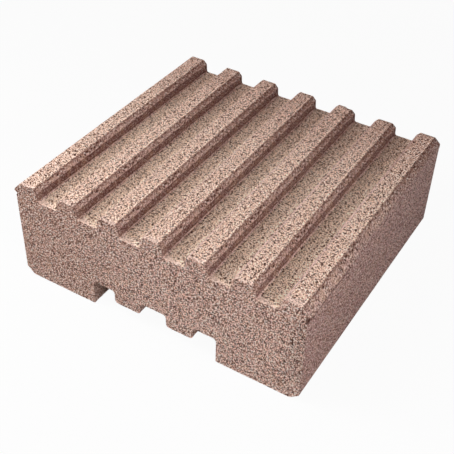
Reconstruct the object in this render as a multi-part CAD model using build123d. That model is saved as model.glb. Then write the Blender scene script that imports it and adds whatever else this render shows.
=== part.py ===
from build123d import *
import os

# Ribbed concrete pier block, dry-cast in one piece with one cross-section from end to end.
# X runs across the ribs, Y along them and Z up. The origin is on the ground, at the middle
# of the footprint. All sizes are in millimetres.

# Overall
WALL_WIDTH = 300.0              # across the two side walls
BLOCK_LENGTH = 286.0            # along the ribs, end face to end face
BLOCK_HEIGHT = 110.0            # ground to rib tops

# Top ribs, with a groove between each two
RIB_COUNT = 7
EDGE_RIB_INSET = 13.8           # side wall to the centre line of the outermost rib
RIB_TOP_WIDTH = 15.0            # flat on top of a rib
RIB_CHAMFER_RUN = 4.1           # sideways reach of the chamfer along each rib edge
RIB_CHAMFER_DROP = 4.6          # height of that chamfer
RIB_DRAFT = 0.6                 # how far each rib flank leans out from chamfer to root
GROOVE_DEPTH = 13.6             # rib top to groove floor
GROOVE_ROOT_RADIUS = 1.8        # where a flank meets the groove floor

# Outer flank of the two outermost ribs, which end in a lip over the side wall
SIDE_LIP = 1.5                  # how far the lip stands out past the wall
LIP_EDGE_HEIGHT = 2.4           # upright edge of the lip
OUTER_CHAMFER_DROP = 8.6        # rib top to the upper edge of the lip
LIP_UNDERCUT = 1.2              # height over which the lip runs back to the wall

# Feet, on each side of the recess under the block
FOOT_CHAMFER_RUN = 8.4          # sideways reach of the bevel along the outer bottom edge
FOOT_CHAMFER_RISE = 7.2         # height of that bevel
FOOT_BEVEL_RADIUS = 3.0         # softens the two corners of the bevel
FOOT_INNER_RADIUS = 2.0         # bottom edge of a foot, beside the recess

# Recess under the block, and the two lobes that hang from its ceiling
RECESS_WIDTH = 132.6            # between the inner walls of the feet
RECESS_HEIGHT = 28.0            # ground to ceiling
CEILING_RADIUS = 3.0            # where the ceiling meets a foot or a lobe
LOBE_COUNT = 2
LOBE_SPACING = 56.8             # centre to centre
LOBE_WIDTH = 29.8
LOBE_DROP = 13.8                # ceiling to the bottom of a lobe
LOBE_EDGE_RADIUS = 4.2          # bottom edges of a lobe

# A cutter runs this far past the faces that it opens
CUT_MARGIN = 5.0

RIB_PITCH = (WALL_WIDTH - 2 * EDGE_RIB_INSET) / (RIB_COUNT - 1)
RIB_SHOULDER_HALF = RIB_TOP_WIDTH / 2 + RIB_CHAMFER_RUN
RIB_ROOT_HALF = RIB_SHOULDER_HALF + RIB_DRAFT
GROOVE_FLOOR_Z = BLOCK_HEIGHT - GROOVE_DEPTH
RIB_SHOULDER_Z = BLOCK_HEIGHT - RIB_CHAMFER_DROP
LOBE_BOTTOM_Z = RECESS_HEIGHT - LOBE_DROP


def spread(count, pitch):
    """Centres of a row of like features, evenly spaced about the middle of the block."""
    return [(index - (count - 1) / 2) * pitch for index in range(count)]


def both_sides(right_half):
    """A right-hand half outline, as (x, z) points from the axis round to the axis, made whole."""
    half = make_face(Polyline(*right_half, close=True))
    return half + mirror(half, about=Plane.YZ)


def corners_at(outline, height):
    """The corners of an outline that lie at one height."""
    return [corner for corner in outline.vertices() if abs(corner.Y - height) < 0.001]


def shell_outline():
    """The block's outer shape before grooves and recess: bevelled feet, side walls and lips."""
    wall_x = WALL_WIDTH / 2
    lip_x = wall_x + SIDE_LIP
    flat_end_x = wall_x - EDGE_RIB_INSET + RIB_TOP_WIDTH / 2
    lip_top_z = BLOCK_HEIGHT - OUTER_CHAMFER_DROP
    lip_bottom_z = lip_top_z - LIP_EDGE_HEIGHT
    outline = both_sides([
        (0, 0),
        (wall_x - FOOT_CHAMFER_RUN, 0),
        (wall_x, FOOT_CHAMFER_RISE),
        (wall_x, lip_bottom_z - LIP_UNDERCUT),
        (lip_x, lip_bottom_z),
        (lip_x, lip_top_z),
        (flat_end_x, BLOCK_HEIGHT),
        (0, BLOCK_HEIGHT),
    ])
    bevel_corners = corners_at(outline, 0) + corners_at(outline, FOOT_CHAMFER_RISE)
    return fillet(bevel_corners, FOOT_BEVEL_RADIUS)


def groove_outline():
    """One top groove: flat floor, rounded roots, drafted flanks and the chamfers beside it."""
    half_pitch = RIB_PITCH / 2
    shoulder_x = half_pitch - RIB_SHOULDER_HALF
    mouth_x = half_pitch - RIB_TOP_WIDTH / 2
    outline = both_sides([
        (0, GROOVE_FLOOR_Z),
        (half_pitch - RIB_ROOT_HALF, GROOVE_FLOOR_Z),
        (shoulder_x, RIB_SHOULDER_Z),
        (mouth_x, BLOCK_HEIGHT),
        (mouth_x, BLOCK_HEIGHT + CUT_MARGIN),
        (0, BLOCK_HEIGHT + CUT_MARGIN),
    ])
    return fillet(corners_at(outline, GROOVE_FLOOR_Z), GROOVE_ROOT_RADIUS)


def recess_outline():
    """The recess between the feet, less the lobes that hang into it."""
    from_ground = (Align.CENTER, Align.MIN)
    recess = Rectangle(RECESS_WIDTH, RECESS_HEIGHT, align=from_ground)
    for centre_x in spread(LOBE_COUNT, LOBE_SPACING):
        recess -= Pos(centre_x, LOBE_BOTTOM_Z) * Rectangle(LOBE_WIDTH, LOBE_DROP, align=from_ground)
    recess = fillet(corners_at(recess, LOBE_BOTTOM_Z), LOBE_EDGE_RADIUS)
    return fillet(corners_at(recess, RECESS_HEIGHT), CEILING_RADIUS)


def section():
    """The block's cross-section, the same from one end face to the other."""
    outline = shell_outline() - recess_outline()
    for centre_x in spread(RIB_COUNT - 1, RIB_PITCH):
        outline -= Pos(centre_x, 0) * groove_outline()
    foot_edges = [corner for corner in corners_at(outline, 0) if abs(corner.X) < RECESS_WIDTH / 2 + 0.001]
    return fillet(foot_edges, FOOT_INNER_RADIUS)


def block():
    """The cast block: its section run along Y, half to each side of the origin."""
    cast = extrude(Plane.XZ * section(), BLOCK_LENGTH / 2, both=True)
    cast.label = "block"
    return cast


os.makedirs("parts", exist_ok=True)
export_step(block(), "parts/block.step")
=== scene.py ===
import logging
import math
from dataclasses import dataclass, field
from enum import Enum
from typing import Union

import bmesh
import bpy
from mathutils import Matrix, Vector


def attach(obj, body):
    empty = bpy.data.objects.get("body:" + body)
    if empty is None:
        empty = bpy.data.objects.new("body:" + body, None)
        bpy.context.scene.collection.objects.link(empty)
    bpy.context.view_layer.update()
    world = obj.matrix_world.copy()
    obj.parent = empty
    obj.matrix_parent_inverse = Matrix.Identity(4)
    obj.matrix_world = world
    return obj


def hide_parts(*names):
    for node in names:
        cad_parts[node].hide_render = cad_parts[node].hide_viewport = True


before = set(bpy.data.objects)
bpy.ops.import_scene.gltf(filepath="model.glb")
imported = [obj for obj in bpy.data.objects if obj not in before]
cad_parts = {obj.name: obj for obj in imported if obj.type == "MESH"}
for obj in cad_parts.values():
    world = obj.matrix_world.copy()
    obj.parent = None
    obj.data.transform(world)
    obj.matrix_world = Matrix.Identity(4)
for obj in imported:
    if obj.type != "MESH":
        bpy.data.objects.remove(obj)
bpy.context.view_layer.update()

log = logging.getLogger("pier_block")

MM = 0.001
RIB_PITCH = 45.4 * MM
# Middle value of a noise or a chance
EVEN = 0.5
Colour = tuple[float, float, float]
Place = tuple[float, float, float]
Span = tuple[float, float]
WHITE = (1.0, 1.0, 1.0, 1.0)


class Axis(Enum):
    """The block's own directions: across the ribs, along them and up."""

    ACROSS = (1.0, 0.0, 0.0)
    ALONG = (0.0, 1.0, 0.0)
    UP = (0.0, 0.0, 1.0)


class Skin(Enum):
    """How a face of the block came out of the mould and which way it faces, and the attribute that says
    so.
    """

    TOP = "skin_top"
    GROOVE = "skin_groove"
    END = "skin_end"
    CHAMFER = "skin_chamfer"
    FLANK = "skin_flank"
    WALL = "skin_wall"
    BED = "skin_bed"


class Pick(Enum):
    """What is selected in a piece that is opened for editing."""

    ALL = "SELECT"
    NONE = "DESELECT"


class Blend(Enum):
    """How one colour is laid over another."""

    MIX = "MIX"
    MULTIPLY = "MULTIPLY"


@dataclass(frozen=True)
class Relief:
    """One layer of unevenness, which only ever goes inwards from the moulded shape.

    Attributes:
        name: What the layer is, in a maker's words.
        size: Width of one lump, in metres.
        depth: Greatest depth, in metres.
        weights: How strongly each skin takes it, from 0 to 1.
        contrast: Steepness of its slopes.
        open_share: What the open patch on the front end takes besides.
    """

    name: str
    size: float
    depth: float
    weights: dict[Skin, float]
    contrast: float = 1.0
    open_share: float = 0.0


@dataclass(frozen=True)
class Dent:
    """A place where the cast face is knocked in or did not fill.

    Attributes:
        at: Middle of the dent, in metres.
        reach: How far it spreads, in metres.
        push: Which way and how far its middle moves, in metres.
    """

    at: Place
    reach: float
    push: Place


class Signal:
    """A shader value that is written into sums as a number is."""

    def __init__(self, bench: "Bench", socket: bpy.types.NodeSocket) -> None:
        """Keeps the socket and the bench that adds nodes behind it."""
        self.bench = bench
        self.socket = socket

    def _math(self, operation: str, *values: "Term") -> "Signal":
        """Adds one Math node.

        Args:
            operation: The node's operation.
            values: Its inputs in order.

        Returns:
            The node's result.
        """
        return self.bench.value("ShaderNodeMath", {"operation": operation}, dict(enumerate(values)))

    def __add__(self, other: "Term") -> "Signal":
        """This plus other."""
        return self._math("ADD", self, other)

    def __sub__(self, other: "Term") -> "Signal":
        """This less other."""
        return self._math("SUBTRACT", self, other)

    def __rsub__(self, other: "Term") -> "Signal":
        """Other less this."""
        return self._math("SUBTRACT", other, self)

    def __mul__(self, other: "Term") -> "Signal":
        """This times other."""
        return self._math("MULTIPLY", self, other)

    def __pow__(self, other: "Term") -> "Signal":
        """This to the power of other."""
        return self._math("POWER", self, other)

    __radd__ = __add__
    __rmul__ = __mul__

    def at_least(self, other: "Term") -> "Signal":
        """The greater of this and other."""
        return self._math("MAXIMUM", self, other)

    def at_most(self, other: "Term") -> "Signal":
        """The lesser of this and other."""
        return self._math("MINIMUM", self, other)

    def ramp(self, start: float, end: float) -> "Signal":
        """A smooth 0 to 1 as this goes from start to end.

        Args:
            start: Value at which the result is 0.
            end: Value at which the result is 1, which may be below start.

        Returns:
            The smoothed value.
        """
        low, high, first, last = (start, end, 0.0, 1.0) if start < end else (end, start, 1.0, 0.0)
        return self.bench.value(
            "ShaderNodeMapRange",
            {"interpolation_type": "SMOOTHSTEP"},
            {"Value": self, "From Min": low, "From Max": high, "To Min": first, "To Max": last},
        )


Term = Union[Signal, float, int]
Input = Union[Signal, float, int, tuple]


class Bench:
    """Adds nodes to one material or world, so that shader maths reads as plain Python."""

    def __init__(self, tree: bpy.types.NodeTree) -> None:
        """Clears the tree that the nodes go into."""
        self.tree = tree
        self.tree.nodes.clear()

    def node(
        self,
        kind: str,
        settings: dict[str, object] | None = None,
        inputs: dict[str | int, Input] | None = None,
    ) -> bpy.types.Node:
        """Adds a node.

        Args:
            kind: The node's type.
            settings: Its own settings, which are made first.
            inputs: Value or link for each named or numbered input.

        Returns:
            The node.
        """
        made = self.tree.nodes.new(kind)
        for name, value in (settings or {}).items():
            setattr(made, name, value)
        for name, value in (inputs or {}).items():
            if isinstance(value, Signal):
                self.tree.links.new(value.socket, made.inputs[name])
            else:
                made.inputs[name].default_value = value
        return made

    def value(
        self,
        kind: str,
        settings: dict[str, object] | None = None,
        inputs: dict[str | int, Input] | None = None,
        output: str | int = 0,
    ) -> Signal:
        """Adds a node and gives one of its outputs.

        Args:
            kind: The node's type.
            settings: Its own settings.
            inputs: Value or link for each input.
            output: Name or number of the output.

        Returns:
            The output as a signal.
        """
        return Signal(self, self.node(kind, settings, inputs).outputs[output])

    def attribute(self, name: str) -> Signal:
        """A value that is stored on the mesh's vertices or faces."""
        return self.value("ShaderNodeAttribute", {"attribute_name": name}, None, "Fac")

    def mix(self, amount: Term, below: Input, above: Input, blend: Blend = Blend.MIX) -> Signal:
        """Lays one colour over another.

        Args:
            amount: Share of the upper colour.
            below: Lower colour.
            above: Upper colour.
            blend: How they are combined.

        Returns:
            The mixed colour.
        """
        return self.value(
            "ShaderNodeMix",
            {"data_type": "RGBA", "blend_type": blend.value},
            {0: amount, 6: solid(below), 7: solid(above)},
            2,
        )


def solid(colour: Input) -> Input:
    """Makes a colour ready for a socket.

    Args:
        colour: A plain colour or a signal.

    Returns:
        The plain colour with its alpha, or the signal as it is.
    """
    if isinstance(colour, tuple) and len(colour) == 3:
        return (*colour, 1.0)
    return colour


def srgb(*screen: float) -> Colour:
    """Turns a colour as a screen shows it into the linear colour that shaders use.

    Args:
        screen: Red, green and blue from 0 to 255.

    Returns:
        The linear colour.
    """
    levels = [value / 255.0 for value in screen]
    red, green, blue = [
        level / 12.92 if level <= 0.04045 else ((level + 0.055) / 1.055) ** 2.4 for level in levels
    ]
    return red, green, blue


def spread(count: int, pitch: float) -> list[float]:
    """Centres of a row of like features about the middle of the block."""
    return [(index - (count - 1) / 2) * pitch for index in range(count)]


def edit(piece: bpy.types.Object, pick: Pick) -> None:
    """Opens a piece in edit mode with everything or nothing in it selected.

    Args:
        piece: The mesh object.
        pick: What is selected in it.
    """
    bpy.ops.object.select_all(action="DESELECT")
    bpy.context.view_layer.objects.active = piece
    piece.select_set(True)
    bpy.ops.object.mode_set(mode="EDIT")
    bpy.ops.mesh.select_all(action=pick.value)


def close_edit() -> None:
    """Goes back to object mode."""
    bpy.ops.object.mode_set(mode="OBJECT")


class Measure(Enum):
    """What a fade over the block follows, by its name in Spot."""

    ACROSS = "across"
    ALONG = "along"
    UP = "up"
    OVER = "over"


@dataclass(frozen=True)
class Fade:
    """A smooth 0 to 1 along one measure.

    Attributes:
        measure: What it follows.
        start: Value at which it is 0.
        end: Value at which it is 1, which may be below start.
    """

    measure: Measure
    start: float
    end: float


@dataclass(frozen=True)
class Area:
    """A part of one skin, and how strongly something shows there.

    Attributes:
        what: What the part is.
        skin: The skin that it lies on.
        share: How strongly it shows, below 0 where it takes something away.
        fades: Where it fades in, all of which hold at once.
    """

    what: str
    skin: Skin
    share: float
    fades: tuple[Fade, ...] = ()


@dataclass(frozen=True)
class Spot:
    """What the shader knows about the spot that it colours.

    Attributes:
        skin: The skins' masks, of which one is 1.
        across, along, up: Coordinates across the ribs, along them and upwards, in metres.
        over: Place between two rib middles, from 0 to 1.
        sideways: 1 on faces that look to the left or right.
        hollow, crease: How deep the spot was pushed in, and 1 under a sharp lip, where painted shade and
            painted shadow go.
        patches, mottle, speck: Soft noises, from centimetres wide to as fine as the pores.
    """

    skin: dict[Skin, Signal]
    across: Signal
    along: Signal
    up: Signal
    over: Signal
    sideways: Signal
    hollow: Signal
    crease: Signal
    patches: Signal
    mottle: Signal
    speck: Signal

    def total(self, areas: tuple[Area, ...]) -> Signal:
        """How strongly areas show at the spot together.

        Args:
            areas: The areas.

        Returns:
            The sum of their shares, each 0 outside its area.
        """
        shares = []
        for area in areas:
            share = self.skin[area.skin] * area.share
            for fade in area.fades:
                share = share * getattr(self, fade.measure.value).ramp(fade.start, fade.end)
            shares.append(share)
        return sum(shares, 0.0)


@dataclass(frozen=True)
class Grains:
    """Grains of one size, packed side by side.

    Attributes:
        gap: How far the spot is from its grain's middle, about 0 to 0.7.
        chance: A chance value from 0 to 1 that is the same all over one grain.
    """

    gap: Signal
    chance: Signal


@dataclass(frozen=True)
class SkinLook:
    """How one skin of the casting looks.

    Attributes:
        colour: Its colour between the pores, partly its own and partly painted shade, the most on chamfers
            and flanks.
        pores: How open and dark the pores are.
        grains: How much the grains stand out in tone.
        relief: How much they stand out in height.
        blotches: How much the tone wanders over a few centimetres.
    """

    colour: Colour
    pores: float
    grains: float
    relief: float
    blotches: float


# Painted shade in part: each skin's colour is set to how bright that kind of face looks, so the chamfers
# and flanks, turned from the lamps and deep in the grooves, are painted much darker than the tops, besides
# their denser pressed finish.
LOOKS: dict[Skin, SkinLook] = {
    Skin.TOP: SkinLook(srgb(255, 212, 190), 1.9, 1.5, 1.5, 0.35),
    Skin.GROOVE: SkinLook(srgb(255, 219, 194), 1.3, 1.3, 1.2, 0.5),
    Skin.END: SkinLook(srgb(233, 185, 168), 1.8, 2.4, 1.9, 0.2),
    Skin.CHAMFER: SkinLook(srgb(192, 150, 138), 1.0, 1.1, 0.9, 0.4),
    Skin.FLANK: SkinLook(srgb(139, 99, 93), 0.9, 0.8, 0.5, 0.4),
    Skin.WALL: SkinLook(srgb(201, 153, 145), 1.5, 1.5, 1.2, 0.2),
    Skin.BED: SkinLook(srgb(190, 152, 140), 1.0, 1.1, 1.0, 0.7),
}
# What an open and a rubbed surface add to the amounts of their skin
OPENED = {"pores": 0.2, "grains": 0.9, "relief": 1.6, "blotches": 0.0}
RUBBED = {"pores": -0.8, "grains": -0.7, "relief": -0.9, "blotches": 0.0}

ACROSS, ALONG, UP, OVER = Measure
OPEN_PATCH = (
    Area(
        "mix that did not close up, at the right of the front end",
        Skin.END,
        1.0,
        (
            Fade(ACROSS, 130 * MM, 144 * MM),
            Fade(UP, 8 * MM, 30 * MM),
            Fade(UP, 97 * MM, 84 * MM),
        ),
    ),
)
CALM_LEFT = (Area("calmer grain towards the left", Skin.END, -0.35, (Fade(ACROSS, 0.0, -0.15),)),)
# Painted shade: the pressed faces darken and turn mauve towards the rear, where the lamps fall off.
REAR_SHADE = tuple(
    Area("weathered faces towards the rear", kind, 0.9, (Fade(ALONG, 0.01, 0.145),))
    for kind in (Skin.TOP, Skin.GROOVE, Skin.CHAMFER, Skin.FLANK)
)
RIGHT_SIDE = Fade(OVER, 0.5, 0.45)
# Painted light and shade: tone that rises and falls over the block where the lamps fall off, on the ends,
# walls and chamfers.
PAINTED_LIGHT_DRIFT = (
    Area("left part of the ends", Skin.END, -0.17, (Fade(ACROSS, 0.02, -0.12),)),
    Area("top of the ends", Skin.END, -0.06, (Fade(UP, 0.055, 0.1),)),
    Area("walls", Skin.WALL, -0.06),
    Area("walls towards the rear", Skin.WALL, 0.2, (Fade(ALONG, -0.14, 0.14),)),
    Area("chamfers towards the rear", Skin.CHAMFER, -0.14, (Fade(ALONG, 0.0, 0.12),)),
)
# Painted light and shade across each rib: a painted highlight and a painted dark line along the arris,
# lighter chamfers that face the lamps, a lighter lower chamfer edge and groove root, painted shade below
# the arris and at a flank's shoulder and foot, and a floor lighter beside the next rib and darker in its
# middle.
PAINTED_RIB_SHADING = (
    Area("painted highlight on the arris", Skin.TOP, 0.15, (Fade(OVER, 0.09, 0.13), RIGHT_SIDE)),
    Area("painted shade on the arris", Skin.TOP, -0.4, (Fade(OVER, 0.148, 0.16), RIGHT_SIDE)),
    Area("chamfers that face left", Skin.CHAMFER, 0.55, (Fade(OVER, 0.6, 0.7),)),
    Area("lower edge of a chamfer", Skin.CHAMFER, 0.18, (Fade(OVER, 0.215, 0.245), RIGHT_SIDE)),
    Area("root of a groove", Skin.CHAMFER, 0.45, (Fade(UP, 97.9 * MM, 97.3 * MM),)),
    Area("painted shade below the arris", Skin.CHAMFER, -0.25, (Fade(OVER, 0.21, 0.18),)),
    Area("shoulder of a flank", Skin.FLANK, -0.3, (Fade(UP, 102.5 * MM, 104.5 * MM),)),
    Area("foot of a flank", Skin.FLANK, -0.25, (Fade(UP, 99.0 * MM, 98.0 * MM),)),
    Area("floor beside the next rib", Skin.GROOVE, 0.14, (Fade(OVER, 0.52, 0.6),)),
    Area(
        "middle of the floor",
        Skin.GROOVE,
        -0.08,
        (Fade(OVER, 0.34, 0.4), Fade(OVER, 0.56, 0.5)),
    ),
)


@dataclass(frozen=True)
class Grading:
    """Which parts of the mix show as pale grains, dark grains, pits and holes.

    A gap is as in Grains: small near a grain's middle. A chance picks some grains out of all.

    Attributes:
        rim_noise, rim_chance: How far fine noise and its own chance move a gravel grain's rim.
        pale_rim, pale_rim_share: Gaps over which gravel turns pale, and how pale.
        sparkle_chance, sparkle_gap: Chances and gaps over which sand grains sparkle.
        sparkle_share, sparkle_end_share: How pale they are, and how much more on the ends.
        dark_chance, dark_gap: Chances and gaps over which sand grains are dark.
        pit_rim, pit_least, pit_chance: Gaps over which a pit sets in, and its least and added depth.
        hole_gap, hole_chance: Gaps and chances over which holes open.
        hole_end_loss: How much weaker they are on the ends.
        deepest: Most that pits and holes come to together.
    """

    rim_noise: float = 0.7
    rim_chance: float = 0.12
    pale_rim: Span = (0.56, 0.7)
    pale_rim_share: float = 0.4
    sparkle_chance: Span = (0.87, 0.9)
    sparkle_gap: Span = (0.5, 0.35)
    sparkle_share: float = 0.4
    sparkle_end_share: float = 0.6
    dark_chance: Span = (0.12, 0.08)
    dark_gap: Span = (0.6, 0.5)
    pit_rim: Span = (0.37, 0.22)
    pit_least: float = 0.15
    pit_chance: float = 1.8
    hole_gap: Span = (0.2, 0.13)
    hole_chance: Span = (0.4, 0.75)
    hole_end_loss: float = 0.5
    deepest: float = 1.4

    def specks(self, spot: Spot, gravel: Grains, sand: Grains, holes: Grains) -> list[Signal]:
        """What shows of the mix at a spot.

        Args:
            spot: The spot.
            gravel: Its gravel grain.
            sand: Its sand grain.
            holes: The cell that may have a hole in its middle.

        Returns:
            How much of a pale grain, a dark grain and a pit it is.
        """
        ends = spot.skin[Skin.END]
        rim = gravel.gap + (spot.speck - EVEN) * self.rim_noise + (gravel.chance - EVEN) * self.rim_chance
        sparkle = sand.chance.ramp(*self.sparkle_chance) * sand.gap.ramp(*self.sparkle_gap)
        sparkle = sparkle * (self.sparkle_share + self.sparkle_end_share * ends)
        pale = rim.ramp(*self.pale_rim) * self.pale_rim_share + sparkle
        dark = sand.chance.ramp(*self.dark_chance) * sand.gap.ramp(*self.dark_gap)
        pits = rim.ramp(*self.pit_rim) * (self.pit_least + self.pit_chance * gravel.chance * gravel.chance)
        deep = holes.gap.ramp(*self.hole_gap) * holes.chance.ramp(*self.hole_chance)
        pits = (pits + deep * (1.0 - self.hole_end_loss * ends)).at_most(self.deepest)
        return [pale, dark, pits]


@dataclass(frozen=True)
class DryCastConcrete:
    """Earth-moist pink-tan concrete: sand and fine gravel in a thin tinted paste.

    Attributes:
        pale_grain, dark_grain: Colours of a pale and of a dark sand grain.
        sandy: Colour that the paste turns to where it is thin.
        smooth: Colour of paste rubbed smooth at the front edges.
        shaded: Painted shade with a mauve tint, which the pressed faces take towards the rear where the
            lamps fall off.
        pore_colour_and_shade: Colour deep in the pores between the grains, and of the painted shadow in
            the crease under a lip and the painted shade in the deepest hollows.
        gravel, sand, holes: Spacing of the coarser and finer grains and of the few holes, in metres.
        pore, mottle, patch: Width of a pore and of the tone's finer and broader patches, in metres.
        wobble, wobble_reach: Width and reach of the wobble that makes gravel angular, in metres.
        floor_strip, floor_slant: Where a groove floor turns smooth towards the front, and how much
            further forward it does so at the next rib, in metres.
        rib_strip: Where a rib top turns smooth towards the front, in metres.
        floor_ragged, rib_ragged: How far mottle moves the edges of these strips, in metres.
        last_rib, last_rib_strip: Start of the rightmost rib, and how much longer its strip is, in metres.
        warming: Powers of the tone for green and blue, which make dark tones warm.
        grading: Which parts of the mix show.
        bump: Height of the finest relief, in metres.
    """

    pale_grain: Colour = srgb(255, 240, 230)
    dark_grain: Colour = srgb(112, 78, 66)
    sandy: Colour = srgb(238, 194, 150)
    smooth: Colour = srgb(240, 207, 192)
    shaded: Colour = (0.84, 0.76, 0.76)
    pore_colour_and_shade: Colour = srgb(74, 32, 20)
    gravel: float = 1.5 * MM
    sand: float = 1.3 * MM
    pore: float = 1.5 * MM
    holes: float = 5.0 * MM
    patch: float = 45 * MM
    mottle: float = 9 * MM
    wobble: float = 1.1 * MM
    wobble_reach: float = 0.25 * MM
    floor_strip: Span = (-125.5 * MM, -129 * MM)
    floor_slant: float = 18.5 * MM
    floor_ragged: float = 5 * MM
    rib_strip: Span = (-134.0 * MM, -137.0 * MM)
    rib_ragged: float = 6 * MM
    last_rib: Span = (126 * MM, 128 * MM)
    last_rib_strip: float = 2.5 * MM
    warming: Span = (1.25, 1.4)
    grading: Grading = Grading()
    bump: float = 1.0 * MM

    def material(self) -> bpy.types.Material:
        """Makes the concrete's material.

        Returns:
            The material, on Object coordinates and the mesh's own attributes.
        """
        made = bpy.data.materials.new("dry_cast_concrete")
        made.use_nodes = True
        bench = Bench(made.node_tree)
        spot = self.survey(bench)
        flat = self.flattened(spot)
        uneven = self.shaken(flat)
        gravel, holes = self.grains(uneven, self.gravel), self.grains(uneven, self.holes)
        sand = self.grains(flat, self.sand)
        pale, dark, pits = self.grading.specks(spot, gravel, sand, holes)

        slick = self.slick(spot)
        pores, grains, relief, blotches = [self.amount(spot, slick, what) for what in OPENED]
        grains = grains + spot.total(CALM_LEFT)

        wander = (spot.patches - EVEN) * 0.3 + (spot.mottle - EVEN) * 0.35
        coarse = (gravel.gap - 0.45) * 0.2
        fine = (0.47 - sand.gap) * 0.6 + (sand.chance - EVEN) * 0.3
        tone = (1.0 + blotches * wander) * (1.0 + grains * (coarse + fine))
        # Painted shade: the tone darkens where the surface was pushed in; the rubbed paste is a touch
        # darker of its own.
        tone = tone * (1.1 - 0.25 * spot.hollow) * (1.0 - slick * 0.05)
        # Painted light and shade: the drift over the block, and the lighter and darker bands across each
        # rib.
        tone = tone * (1.0 + spot.total(PAINTED_LIGHT_DRIFT)) * (1.0 + spot.total(PAINTED_RIB_SHADING))

        base = bench.mix(1.0, self.paste(spot, slick), self.warm_tone(tone), Blend.MULTIPLY)
        base = bench.mix(spot.total(REAR_SHADE), base, self.shaded, Blend.MULTIPLY)
        for amount, colour in (
            (pale * grains, self.pale_grain),
            (dark * grains * 0.7, self.dark_grain),
            (pits * pores * 0.95, self.pore_colour_and_shade),
            # Painted shadow in the crease under a lip and painted shade in the deepest hollows.
            (self.painted_crease_shade(spot), self.pore_colour_and_shade),
        ):
            base = bench.mix(amount.at_most(1.0), base, colour)

        height = (pale * 0.5 + (1.0 - sand.gap) * 0.5) * relief - pits * pores * 0.7
        bump = bench.value(
            "ShaderNodeBump",
            None,
            {"Strength": 1.0, "Distance": self.bump, "Height": height},
            "Normal",
        )
        shader = bench.value(
            "ShaderNodeBsdfPrincipled",
            None,
            {
                "Base Color": base,
                "Roughness": 0.95 - 0.1 * spot.skin[Skin.FLANK] * gravel.chance,
                "Normal": bump,
                "Specular IOR Level": 0.2,
            },
            "BSDF",
        )
        bench.node("ShaderNodeOutputMaterial", None, {"Surface": shader})
        return made

    def survey(self, bench: Bench) -> Spot:
        """Gathers what the shader knows about a spot.

        Args:
            bench: Where the nodes go.

        Returns:
            The spot.
        """
        place = bench.value("ShaderNodeTexCoord", None, None, "Object")
        split = bench.node("ShaderNodeSeparateXYZ", None, {0: place})
        across, along, up = [Signal(bench, socket) for socket in split.outputs]
        return Spot(
            skin={kind: bench.attribute(kind.value) for kind in Skin},
            across=across,
            along=along,
            up=up,
            over=bench.value("ShaderNodeMath", {"operation": "FRACT"}, {0: across * (1.0 / RIB_PITCH)}),
            sideways=bench.attribute("sideways"),
            hollow=bench.attribute("hollow"),
            crease=bench.attribute("crease"),
            patches=self.noise(place, self.patch, 2.0),
            mottle=self.noise(place, self.mottle, 3.0),
            speck=self.noise(place, self.pore, 1.5),
        )

    def slick(self, spot: Spot) -> Signal:
        """Where the front edges of grooves and rib tops were rubbed smooth.

        Args:
            spot: The spot.

        Returns:
            1 where they were.
        """
        floors = spot.along + spot.over * self.floor_slant + spot.mottle * self.floor_ragged
        ribs = spot.along + spot.mottle * self.rib_ragged
        ribs = ribs - spot.across.ramp(*self.last_rib) * self.last_rib_strip
        smooth_floors = spot.skin[Skin.GROOVE] * floors.ramp(*self.floor_strip)
        return smooth_floors + spot.skin[Skin.TOP] * ribs.ramp(*self.rib_strip)

    def paste(self, spot: Spot, slick: Signal) -> Signal:
        """The paste's colour between the grains, which carries each skin's painted shade.

        Args:
            spot: The spot.
            slick: 1 where it was rubbed smooth.

        Returns:
            The colour.
        """
        bench = slick.bench
        colour: Input = LOOKS[Skin.BED].colour
        for kind in (Skin.WALL, Skin.CHAMFER, Skin.FLANK, Skin.END, Skin.GROOVE, Skin.TOP):
            colour = bench.mix(spot.skin[kind], colour, LOOKS[kind].colour)
        thin = (spot.mottle - 0.42).at_least(0.0) * 1.6
        colour = bench.mix(thin, colour, bench.mix(0.5, colour, self.sandy))
        return bench.mix(slick * 0.8, colour, self.smooth)

    @staticmethod
    def painted_crease_shade(spot: Spot) -> Signal:
        """How much painted shadow lies in the crease under a lip, and painted shade in the deepest
        hollows.
        """
        return spot.crease * (0.1 + 1.2 * spot.speck) + spot.hollow.ramp(0.7, 1.0) * 0.5

    @staticmethod
    def flattened(spot: Spot) -> Signal:
        """Two coordinates that lie in the face that a spot is on.

        Args:
            spot: The spot.

        Returns:
            The two coordinates as a vector, so that the grains are cut through their middles.
        """
        first = spot.across + spot.sideways * (spot.along - spot.across)
        second = spot.along + (spot.sideways + spot.skin[Skin.END]) * (spot.up - spot.along)
        return first.bench.value("ShaderNodeCombineXYZ", None, {0: first, 1: second})

    @staticmethod
    def amount(spot: Spot, slick: Signal, what: str) -> Signal:
        """The amount of something at a spot.

        Args:
            spot: The spot.
            slick: 1 where it was rubbed smooth.
            what: Name of the amount in SkinLook.

        Returns:
            The amount.
        """
        total = spot.total(OPEN_PATCH) * OPENED[what] + slick * RUBBED[what]
        for kind, look in LOOKS.items():
            total = total + spot.skin[kind] * getattr(look, what)
        return total

    @staticmethod
    def grains(place: Signal, size: float) -> Grains:
        """Packs grains side by side.

        Args:
            place: Coordinates.
            size: Spacing of the grains, in metres.

        Returns:
            The grains.
        """
        bench = place.bench
        cells = bench.node(
            "ShaderNodeTexVoronoi",
            {"feature": "F1", "voronoi_dimensions": "2D"},
            {"Vector": place, "Scale": 1.0 / size},
        )
        colour = Signal(bench, cells.outputs["Color"])
        return Grains(
            gap=Signal(bench, cells.outputs["Distance"]),
            chance=bench.value("ShaderNodeSeparateColor", None, {0: colour}, 0),
        )

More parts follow.
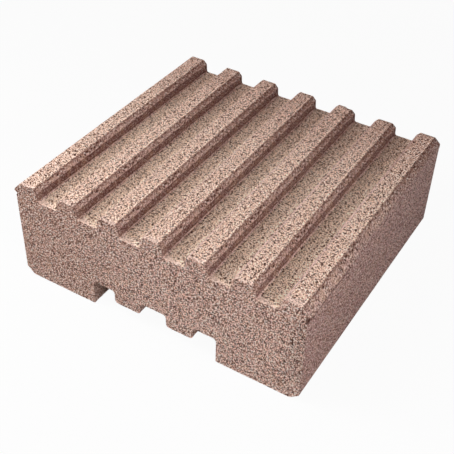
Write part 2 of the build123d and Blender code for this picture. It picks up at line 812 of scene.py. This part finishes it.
    def shaken(self, place: Signal) -> Signal:
        """Coordinates moved to and fro, which makes grains angular.

        Args:
            place: Coordinates.

        Returns:
            The moved coordinates.
        """
        make = place.bench.value
        kind = "ShaderNodeVectorMath"
        noise = {"Vector": place, "Scale": 1.0 / self.wobble, "Detail": 1.0}
        wobble = make("ShaderNodeTexNoise", None, noise, 1)
        centred = make(kind, {"operation": "SUBTRACT"}, {0: wobble, 1: (EVEN, EVEN, EVEN)})
        moved = make(kind, {"operation": "SCALE"}, {0: centred, "Scale": 2.0 * self.wobble_reach})
        return make(kind, {"operation": "ADD"}, {0: place, 1: moved})

    @staticmethod
    def noise(place: Signal, size: float, detail: float) -> Signal:
        """Soft noise in which one lump is about size wide.

        Args:
            place: Coordinates.
            size: Width of a lump, in metres.
            detail: Finer octaves.

        Returns:
            A value around EVEN.
        """
        return place.bench.value(
            "ShaderNodeTexNoise",
            {"noise_dimensions": "3D"},
            {"Vector": place, "Scale": 1.0 / size, "Detail": detail, "Roughness": 0.6},
            0,
        )

    def warm_tone(self, level: Signal) -> Signal:
        """A tone to multiply by, which grows warmer as it darkens."""
        green, blue = (level ** power for power in self.warming)
        return level.bench.value("ShaderNodeCombineColor", None, {0: level, 1: green, 2: blue}, 0)


@dataclass
class CastBlock:
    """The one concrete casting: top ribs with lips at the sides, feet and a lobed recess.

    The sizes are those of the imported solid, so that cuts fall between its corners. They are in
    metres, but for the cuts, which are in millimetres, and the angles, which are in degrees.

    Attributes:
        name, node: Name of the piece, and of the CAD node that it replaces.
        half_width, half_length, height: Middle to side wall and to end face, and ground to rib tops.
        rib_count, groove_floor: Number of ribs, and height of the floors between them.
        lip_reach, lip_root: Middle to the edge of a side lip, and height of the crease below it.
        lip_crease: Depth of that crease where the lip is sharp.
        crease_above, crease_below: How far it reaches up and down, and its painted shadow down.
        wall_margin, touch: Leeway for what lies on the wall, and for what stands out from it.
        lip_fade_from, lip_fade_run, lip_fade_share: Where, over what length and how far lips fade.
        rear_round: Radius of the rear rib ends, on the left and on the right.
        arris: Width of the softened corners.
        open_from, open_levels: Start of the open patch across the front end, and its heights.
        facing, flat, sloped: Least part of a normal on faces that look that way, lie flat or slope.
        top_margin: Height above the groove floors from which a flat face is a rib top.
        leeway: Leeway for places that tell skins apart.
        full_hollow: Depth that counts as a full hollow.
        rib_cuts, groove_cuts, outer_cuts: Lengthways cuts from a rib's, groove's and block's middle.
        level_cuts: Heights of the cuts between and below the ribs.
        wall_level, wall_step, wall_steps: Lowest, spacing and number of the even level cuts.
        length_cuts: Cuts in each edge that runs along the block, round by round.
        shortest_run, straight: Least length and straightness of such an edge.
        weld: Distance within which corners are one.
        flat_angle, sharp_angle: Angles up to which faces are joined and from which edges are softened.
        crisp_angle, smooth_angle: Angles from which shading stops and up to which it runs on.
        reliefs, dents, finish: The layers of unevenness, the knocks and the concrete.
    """

    name: str = "pier_block"
    node: str = "block"
    half_width: float = 150.0 * MM
    half_length: float = 143.0 * MM
    height: float = 110.0 * MM
    rib_count: int = 7
    groove_floor: float = 96.4 * MM
    lip_reach: float = 151.5 * MM
    lip_root: float = 97.2 * MM
    lip_crease: float = 1.3 * MM
    crease_above: float = 1.1 * MM
    crease_below: float = 2.4 * MM
    wall_margin: float = 0.7 * MM
    touch: float = 0.01 * MM
    lip_fade_from: float = -95 * MM
    lip_fade_run: float = 90 * MM
    lip_fade_share: float = 0.9
    rear_round: Span = (1.6 * MM, 3.6 * MM)
    arris: float = 0.5 * MM
    open_from: float = 130.0 * MM
    open_levels: Span = (22.0 * MM, 93.0 * MM)
    facing: float = 0.7
    flat: float = 0.9
    sloped: float = 0.3
    top_margin: float = 4.0 * MM
    leeway: float = 1.0 * MM
    full_hollow: float = 1.7 * MM
    rib_cuts: tuple[float, ...] = (-10.2, -8.9, -4.4, -2.2, 0.0, 2.2, 4.4, 8.9, 10.2)
    groove_cuts: tuple[float, ...] = (-6.9, -4.6, -2.3, 0.0, 2.3, 4.6, 6.9)
    outer_cuts: tuple[float, ...] = (147.3,)
    level_cuts: tuple[float, ...] = (1.6, 3.4, 5.2, 96.2, 99.9, 102.6, 103.9, 108.0)
    wall_level: float = 10.6
    wall_step: float = 2.42
    wall_steps: int = 36
    length_cuts: tuple[int, int] = (9, 10)
    shortest_run: float = 2.0 * MM
    straight: float = 0.99
    weld: float = 1e-6
    flat_angle: float = 0.5
    sharp_angle: float = 30
    crisp_angle: float = 17
    smooth_angle: float = 70
    reliefs: tuple[Relief, ...] = field(default_factory=tuple)
    dents: tuple[Dent, ...] = field(default_factory=tuple)
    finish: DryCastConcrete = field(default_factory=DryCastConcrete)

    def build(self) -> bpy.types.Object:
        """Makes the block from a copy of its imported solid.

        Returns:
            The finished piece.
        """
        piece = self.copy_of_solid()
        self.soften_arrises(piece)
        self.cut_into_cells(piece)
        self.keep_arrises_crisp(piece)
        self.weigh(piece)
        self.wear_lips(piece)
        smooth = [vertex.co.copy() for vertex in piece.data.vertices]
        self.roughen(piece)
        for dent in self.dents:
            self.knock_in(piece, dent)
        self.round_rear_ends(piece)
        self.keep_in_mould(piece)
        self.note_hollows(piece, smooth)
        self.dress(piece)
        return piece

    def copy_of_solid(self) -> bpy.types.Object:
        """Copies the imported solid, merges its loose triangles and joins flat ones.

        Returns:
            The copy, as a light closed mesh.
        """
        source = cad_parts[self.node]
        piece = bpy.data.objects.new(self.name, source.data.copy())
        bpy.context.scene.collection.objects.link(piece)
        piece.data.materials.clear()
        edit(piece, Pick.ALL)
        bpy.ops.mesh.remove_doubles(threshold=self.weld)
        bpy.ops.mesh.dissolve_limited(angle_limit=math.radians(self.flat_angle))
        bpy.ops.mesh.customdata_custom_splitnormals_clear()
        close_edit()
        return piece

    def soften_arrises(self, piece: bpy.types.Object) -> None:
        """Takes the knife edge off every corner of the casting.

        Args:
            piece: The block.
        """
        edit(piece, Pick.NONE)
        bpy.ops.mesh.select_mode(type="EDGE")
        bpy.ops.mesh.edges_select_sharp(sharpness=math.radians(self.sharp_angle))
        bpy.ops.mesh.bevel(
            offset=self.arris, offset_type="OFFSET", segments=1, clamp_overlap=True
        )
        bpy.ops.mesh.select_mode(type="VERT")
        close_edit()

    def cut_into_cells(self, piece: bpy.types.Object) -> None:
        """Cuts the faces into cells a little over two millimetres wide.

        Args:
            piece: The block.
        """
        columns = []
        for count, cuts in ((self.rib_count, self.rib_cuts), (self.rib_count - 1, self.groove_cuts)):
            columns += [centre + cut * MM for centre in spread(count, RIB_PITCH) for cut in cuts]
        columns += [side * cut * MM for side in (-1, 1) for cut in self.outer_cuts]
        levels = [cut * MM for cut in self.level_cuts]
        levels += [(self.wall_level + step * self.wall_step) * MM for step in range(self.wall_steps)]
        edit(piece, Pick.ALL)
        for column in columns:
            self.slice_all(Axis.ACROSS, column)
        for level in levels:
            self.slice_all(Axis.UP, level)
        close_edit()
        for cuts in self.length_cuts:
            self.cut_lengthways(piece, cuts)

    def slice_all(self, axis: Axis, at: float) -> None:
        """Cuts every face that crosses a plane.

        Args:
            axis: Direction that the plane faces.
            at: Where it lies along that direction, in metres.
        """
        bpy.ops.mesh.select_all(action=Pick.ALL.value)
        point = [at * part for part in axis.value]
        bpy.ops.mesh.bisect(plane_co=point, plane_no=axis.value, threshold=self.weld)

    def cut_lengthways(self, piece: bpy.types.Object, cuts: int) -> None:
        """Divides the edges that run along the block.

        Args:
            piece: The block.
            cuts: Number of cuts in each.
        """
        edit(piece, Pick.NONE)
        bpy.ops.mesh.select_mode(type="EDGE")
        mesh = bmesh.from_edit_mesh(piece.data)
        for edge in mesh.edges:
            run = edge.verts[0].co - edge.verts[1].co
            edge.select = abs(run.y) > self.shortest_run and abs(run.y) > self.straight * run.length
        bmesh.update_edit_mesh(piece.data)
        bpy.ops.mesh.subdivide(number_cuts=cuts, smoothness=0.0)
        bpy.ops.mesh.select_mode(type="VERT")
        close_edit()

    def keep_arrises_crisp(self, piece: bpy.types.Object) -> None:
        """Marks the corners of the casting, so that shading stops at them once it is rough.

        Args:
            piece: The block.
        """
        edit(piece, Pick.NONE)
        bpy.ops.mesh.select_mode(type="EDGE")
        bpy.ops.mesh.edges_select_sharp(sharpness=math.radians(self.crisp_angle))
        bpy.ops.mesh.mark_sharp()
        bpy.ops.mesh.select_mode(type="VERT")
        close_edit()

    def weigh(self, piece: bpy.types.Object) -> None:
        """Stores each face's skin and side, and how strongly each vertex takes each relief.

        Args:
            piece: The block.
        """
        mesh = piece.data
        skins = [self.skin_of(face.normal, face.center) for face in mesh.polygons]
        for skin in Skin:
            layer = mesh.attributes.new(skin.value, "FLOAT", "FACE")
            layer.data.foreach_set("value", [float(own is skin) for own in skins])
        sideways = mesh.attributes.new("sideways", "FLOAT", "FACE")
        looks_aside = [float(abs(face.normal.x) > self.facing) for face in mesh.polygons]
        sideways.data.foreach_set("value", looks_aside)
        for relief in self.reliefs:
            totals = [0.0] * len(mesh.vertices)
            counts = [0] * len(mesh.vertices)
            for face, skin in zip(mesh.polygons, skins):
                open_share = relief.open_share * self.honeycomb(face.center)
                for index in face.vertices:
                    totals[index] += relief.weights[skin] + open_share
                    counts[index] += 1
            group = piece.vertex_groups.new(name=relief.name)
            for index, total in enumerate(totals):
                group.add([index], min(total / max(counts[index], 1), 1.0), "REPLACE")

    def honeycomb(self, place: Vector) -> float:
        """Tells the open patch at the right of the front end, where the mix did not close up.

        Args:
            place: A face's middle, in metres.

        Returns:
            1 in the patch and 0 outside it.
        """
        low, high = self.open_levels
        inside = place.y < self.leeway - self.half_length and place.x > self.open_from
        return float(inside and low < place.z < high)

    def skin_of(self, normal: Vector, middle: Vector) -> Skin:
        """Which skin a face has, by the way it faces and where it is.

        Args:
            normal: The face's normal.
            middle: The face's middle, in metres.

        Returns:
            The skin.
        """
        if abs(normal.y) > self.facing:
            return Skin.END
        if normal.z > self.flat:
            return Skin.TOP if middle.z > self.groove_floor + self.top_margin else Skin.GROOVE
        if normal.z > self.sloped:
            return Skin.CHAMFER
        if abs(middle.x) > self.half_width - self.leeway:
            return Skin.WALL
        if middle.z > self.groove_floor - self.leeway:
            return Skin.FLANK
        return Skin.BED

    def wear_lips(self, piece: bpy.types.Object) -> None:
        """Wears the side lips away towards the rear, creases the wall where they are sharp and marks the
        band below them for painted shadow.

        Args:
            piece: The block.
        """
        edit(piece, Pick.NONE)
        mesh = bmesh.from_edit_mesh(piece.data)
        # The crease mask marks the band under a sharp lip that takes the painted shadow.
        creased = mesh.verts.layers.float.new("crease")
        for vertex in mesh.verts:
            stand = abs(vertex.co.x) - self.half_width
            kept = self.lip_share(vertex.co.y)
            below = self.lip_root - vertex.co.z
            on_wall = stand > -self.wall_margin
            if on_wall and -self.crease_above < below < self.crease_below:
                vertex[creased] = kept * kept
            if on_wall and abs(below) < self.crease_above:
                vertex.co.x -= math.copysign(self.lip_crease * kept, vertex.co.x)
            elif stand > self.touch:
                vertex.co.x = math.copysign(self.half_width + stand * kept, vertex.co.x)
        bmesh.update_edit_mesh(piece.data)
        close_edit()

    def lip_share(self, along: float) -> float:
        """How much of the lip is left at a place along the block.

        Args:
            along: Place along the block, in metres.

        Returns:
            1 at the front end, nearly 0 past the middle.
        """
        gone = min(max((along - self.lip_fade_from) / self.lip_fade_run, 0.0), 1.0)
        return 1.0 - self.lip_fade_share * gone * gone * (3.0 - 2.0 * gone)

    def roughen(self, piece: bpy.types.Object) -> None:
        """Pushes the surface in by each relief in turn.

        Args:
            piece: The block.
        """
        for relief in self.reliefs:
            texture = bpy.data.textures.new(relief.name, "CLOUDS")
            texture.noise_scale = relief.size
            texture.contrast = relief.contrast
            texture.noise_depth = 2
            bpy.context.view_layer.objects.active = piece
            bpy.ops.object.modifier_add(type="DISPLACE")
            push = piece.modifiers[-1]
            push.texture = texture
            push.texture_coords = "LOCAL"
            push.vertex_group = relief.name
            push.strength = relief.depth
            push.mid_level = 0.5 + 0.5 * relief.contrast
            bpy.ops.object.modifier_apply(modifier=push.name)

    @staticmethod
    def knock_in(piece: bpy.types.Object, dent: Dent) -> None:
        """Moves the vertices round a place, most in the middle.

        Args:
            piece: The block.
            dent: Where, how wide and which way.
        """
        middle = Vector(dent.at)
        for vertex in piece.data.vertices:
            away = (vertex.co - middle).length / dent.reach
            if away < 1.0:
                vertex.co += Vector(dent.push) * (1.0 - away * away) ** 2

    def round_rear_ends(self, piece: bpy.types.Object) -> None:
        """Rounds the ribs over at the rear, where the casting was struck, the right ones most.

        Args:
            piece: The block.
        """
        left, right = self.rear_round
        for vertex in piece.data.vertices:
            place = vertex.co
            radius = left if place.x < RIB_PITCH else right
            along = (place.y - self.half_length + radius) / radius
            up = (place.z - self.height + 2.0 * radius) / (2.0 * radius)
            if along > 0.0 and up > 0.0:
                place.z -= radius * (1.0 - math.sqrt(max(1.0 - along * along, 0.0))) * min(up, 1.0)

    def keep_in_mould(self, piece: bpy.types.Object) -> None:
        """Brings back the few vertices that stand out of the mould.

        Args:
            piece: The block.
        """
        for vertex in piece.data.vertices:
            place = vertex.co
            place.x = min(max(place.x, -self.lip_reach), self.lip_reach)
            place.y = min(max(place.y, -self.half_length), self.half_length)
            place.z = min(max(place.z, 0.0), self.height)

    def note_hollows(self, piece: bpy.types.Object, smooth: list[Vector]) -> None:
        """Stores how deep each vertex lies below the smooth shape, from 0 to 1.

        Args:
            piece: The block.
            smooth: Where its vertices were before it was roughened.
        """
        depths = [(vertex.co - was).length for vertex, was in zip(piece.data.vertices, smooth)]
        layer = piece.data.attributes.new("hollow", "FLOAT", "POINT")
        layer.data.foreach_set("value", [min(depth / self.full_hollow, 1.0) for depth in depths])

    def dress(self, piece: bpy.types.Object) -> None:
        """Gives the block its finish and its place in the frame.

        Args:
            piece: The block.
        """
        piece.data.materials.append(self.finish.material())
        bpy.ops.object.select_all(action="DESELECT")
        piece.select_set(True)
        bpy.context.view_layer.objects.active = piece
        bpy.ops.object.shade_smooth_by_angle(
            angle=math.radians(self.smooth_angle), keep_sharp_edges=True
        )
        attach(piece, "root")
        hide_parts(self.node)


@dataclass(frozen=True)
class Softbox:
    """One square studio lamp.

    Attributes:
        name: What it is for.
        at: Where it hangs, in metres.
        aim: What it points at, in metres.
        width: Side of its face, in metres.
        power: Output in watts.
    """

    name: str
    at: Place
    aim: Place
    width: float
    power: float

    def hang(self) -> None:
        """Puts the lamp in the scene."""
        data = bpy.data.lights.new(self.name, "AREA")
        data.shape = "SQUARE"
        data.size = self.width
        data.energy = self.power
        lamp = bpy.data.objects.new(self.name, data)
        bpy.context.scene.collection.objects.link(lamp)
        lamp.location = self.at
        lamp.rotation_euler = (Vector(self.aim) - Vector(self.at)).to_track_quat("-Z", "Y").to_euler()


@dataclass
class Studio:
    """The pale floor, the soft light and the camera at the photograph's angle.

    Attributes:
        floor_side, floor_colour: Side of the floor, in metres, and the colour that it throws back.
        seen_white: How white the floor looks, as a share.
        sky: Strength of the even light from all round.
        lamps: The softboxes.
        focal_length, sensor: Of the camera, in millimetres.
        sight: Nearest and farthest distance that it sees, in metres.
        eye: Where it stands, in metres.
        right, down, ahead: Directions to the right, lower edge and depth of the picture.
    """

    floor_side: float = 6.0
    floor_colour: Colour = (0.60, 0.60, 0.60)
    seen_white: float = 0.95
    sky: float = 0.166
    lamps: tuple[Softbox, ...] = (
        Softbox("left_softbox", (-0.5675, -0.3277, 0.5389), (0.0, 0.0, 0.08), 0.3, 2.97),
        Softbox("overhead_softbox", (-0.20, -0.32, 0.60), (0.0, -0.03, 0.1), 0.3, 1.86),
        Softbox("right_softbox", (0.50, -0.35, 0.35), (0.0, -0.03, 0.1), 0.3, 1.59),
    )
    focal_length: float = 68.644
    sensor: float = 36.0
    sight: Span = (0.05, 20.0)
    eye: Place = (0.32904, -0.58457, 0.58356)
    right: Place = (0.85314921, 0.52086785, 0.02886349)
    down: Place = (0.35240699, -0.5346581, -0.76808205)
    ahead: Place = (-0.38463715, 0.66546029, -0.63970061)

    def build(self) -> None:
        """Sets up floor, light and camera."""
        self.lay_floor()
        self.light_world()
        for lamp in self.lamps:
            lamp.hang()
        self.place_camera()
        bpy.context.scene.view_settings.view_transform = "Standard"

    @staticmethod
    def seen_directly(bench: Bench) -> Signal:
        """Tells the rays that show the background from those that only light the block.

        Args:
            bench: Where the nodes go.

        Returns:
            1 where it is seen by the camera, in a gloss or through something clear.
        """
        path = bench.node("ShaderNodeLightPath")
        kinds = ("Is Camera Ray", "Is Glossy Ray", "Is Transmission Ray")
        camera, gloss, through = [Signal(bench, path.outputs[kind]) for kind in kinds]
        return (camera + gloss + through).at_most(1.0)

    def lay_floor(self) -> None:
        """A wide pale floor at ground level."""
        bpy.ops.object.select_all(action="DESELECT")
        bpy.ops.mesh.primitive_plane_add(size=self.floor_side, location=(0.0, 0.0, 0.0))
        floor = bpy.context.object
        floor.name = "studio_floor"
        paint = bpy.data.materials.new("studio_floor")
        paint.use_nodes = True
        bench = Bench(paint.node_tree)
        matt = bench.value("ShaderNodeBsdfDiffuse", None, {"Color": solid(self.floor_colour)})
        glow = bench.value("ShaderNodeEmission", None, {"Color": WHITE, "Strength": 1.0})
        amount = self.seen_directly(bench) * self.seen_white
        shown = bench.value("ShaderNodeMixShader", None, {0: amount, 1: matt, 2: glow})
        bench.node("ShaderNodeOutputMaterial", None, {"Surface": shown})
        floor.data.materials.append(paint)

    def light_world(self) -> None:
        """An even sky that fills the shadows and looks white behind the block."""
        world = bpy.data.worlds.new("studio_sky")
        world.use_nodes = True
        bpy.context.scene.world = world
        bench = Bench(world.node_tree)
        seen = self.seen_directly(bench)
        strength = seen + (1.0 - seen) * self.sky
        sky = bench.value("ShaderNodeBackground", None, {"Color": WHITE, "Strength": strength})
        bench.node("ShaderNodeOutputWorld", None, {"Surface": sky})

    def place_camera(self) -> None:
        """The camera where the photograph was taken from."""
        data = bpy.data.cameras.new("photo_camera")
        data.sensor_width = self.sensor
        data.lens = self.focal_length
        data.clip_start, data.clip_end = self.sight
        camera = bpy.data.objects.new("photo_camera", data)
        bpy.context.scene.collection.objects.link(camera)
        columns = (Vector(self.right), -Vector(self.down), -Vector(self.ahead))
        turn = Matrix(columns).transposed()
        camera.matrix_world = Matrix.Translation(self.eye) @ turn.to_4x4()
        bpy.context.scene.camera = camera


def shares(*each: float) -> dict[Skin, float]:
    """How strongly each skin takes a relief, in the order of Skin."""
    return dict(zip(Skin, each))


def reliefs() -> tuple[Relief, ...]:
    """Lists the layers of unevenness.

    Returns:
        The layers, from broad to fine.
    """
    return (
        Relief("waves", 40 * MM, 0.3 * MM, shares(1.0, 1.0, 1.0, 1.0, 0.8, 0.8, 1.0)),
        Relief("lumps", 9 * MM, 0.4 * MM, shares(0.5, 0.6, 0.4, 0.4, 0.4, 0.2, 0.8)),
        Relief(
            "grit",
            2.6 * MM,
            1.1 * MM,
            shares(0.12, 0.2, 0.18, 0.12, 0.08, 0.12, 0.5),
            contrast=1.4,
            open_share=0.4,
        ),
    )


def knocks() -> tuple[Dent, ...]:
    """Lists the pits and nicks that handling and casting left on the top.

    Returns:
        The dents, from the right of the front to the left of the rear and the right lip's end.
    """
    return (
        Dent((84.4 * MM, -93.4 * MM, 96.4 * MM), 3.6 * MM, (0.0, 0.0, -1.6 * MM)),
        Dent((7.1 * MM, -18.5 * MM, 110.0 * MM), 3.8 * MM, (-0.9 * MM, 0.0, -1.6 * MM)),
        Dent((-45.7 * MM, -28.4 * MM, 110.0 * MM), 3.0 * MM, (0.0, 0.0, -1.5 * MM)),
        Dent((-80.5 * MM, -16.0 * MM, 107.0 * MM), 3.6 * MM, (-1.2 * MM, 0.0, -1.2 * MM)),
        Dent((-52.5 * MM, 12.0 * MM, 109.0 * MM), 3.6 * MM, (1.2 * MM, 0.0, -1.3 * MM)),
        Dent((-137.0 * MM, 70.0 * MM, 110.0 * MM), 3.4 * MM, (0.6 * MM, 0.0, -1.2 * MM)),
        Dent((150.5 * MM, -143.0 * MM, 99.5 * MM), 5.0 * MM, (-1.6 * MM, 0.8 * MM, 0.5 * MM)),
    )


def main() -> None:
    """Builds the block and the studio, and reports each."""
    logging.basicConfig(level=logging.INFO, format="%(name)s: %(message)s")
    block = CastBlock(reliefs=reliefs(), dents=knocks())
    piece = block.build()
    triangles = sum(len(face.vertices) - 2 for face in piece.data.polygons)
    log.info("%s: %d vertices, %d triangles", piece.name, len(piece.data.vertices), triangles)
    Studio().build()
    log.info("studio: floor, sky, lamps and camera")


if __name__ == "__main__":
    main()
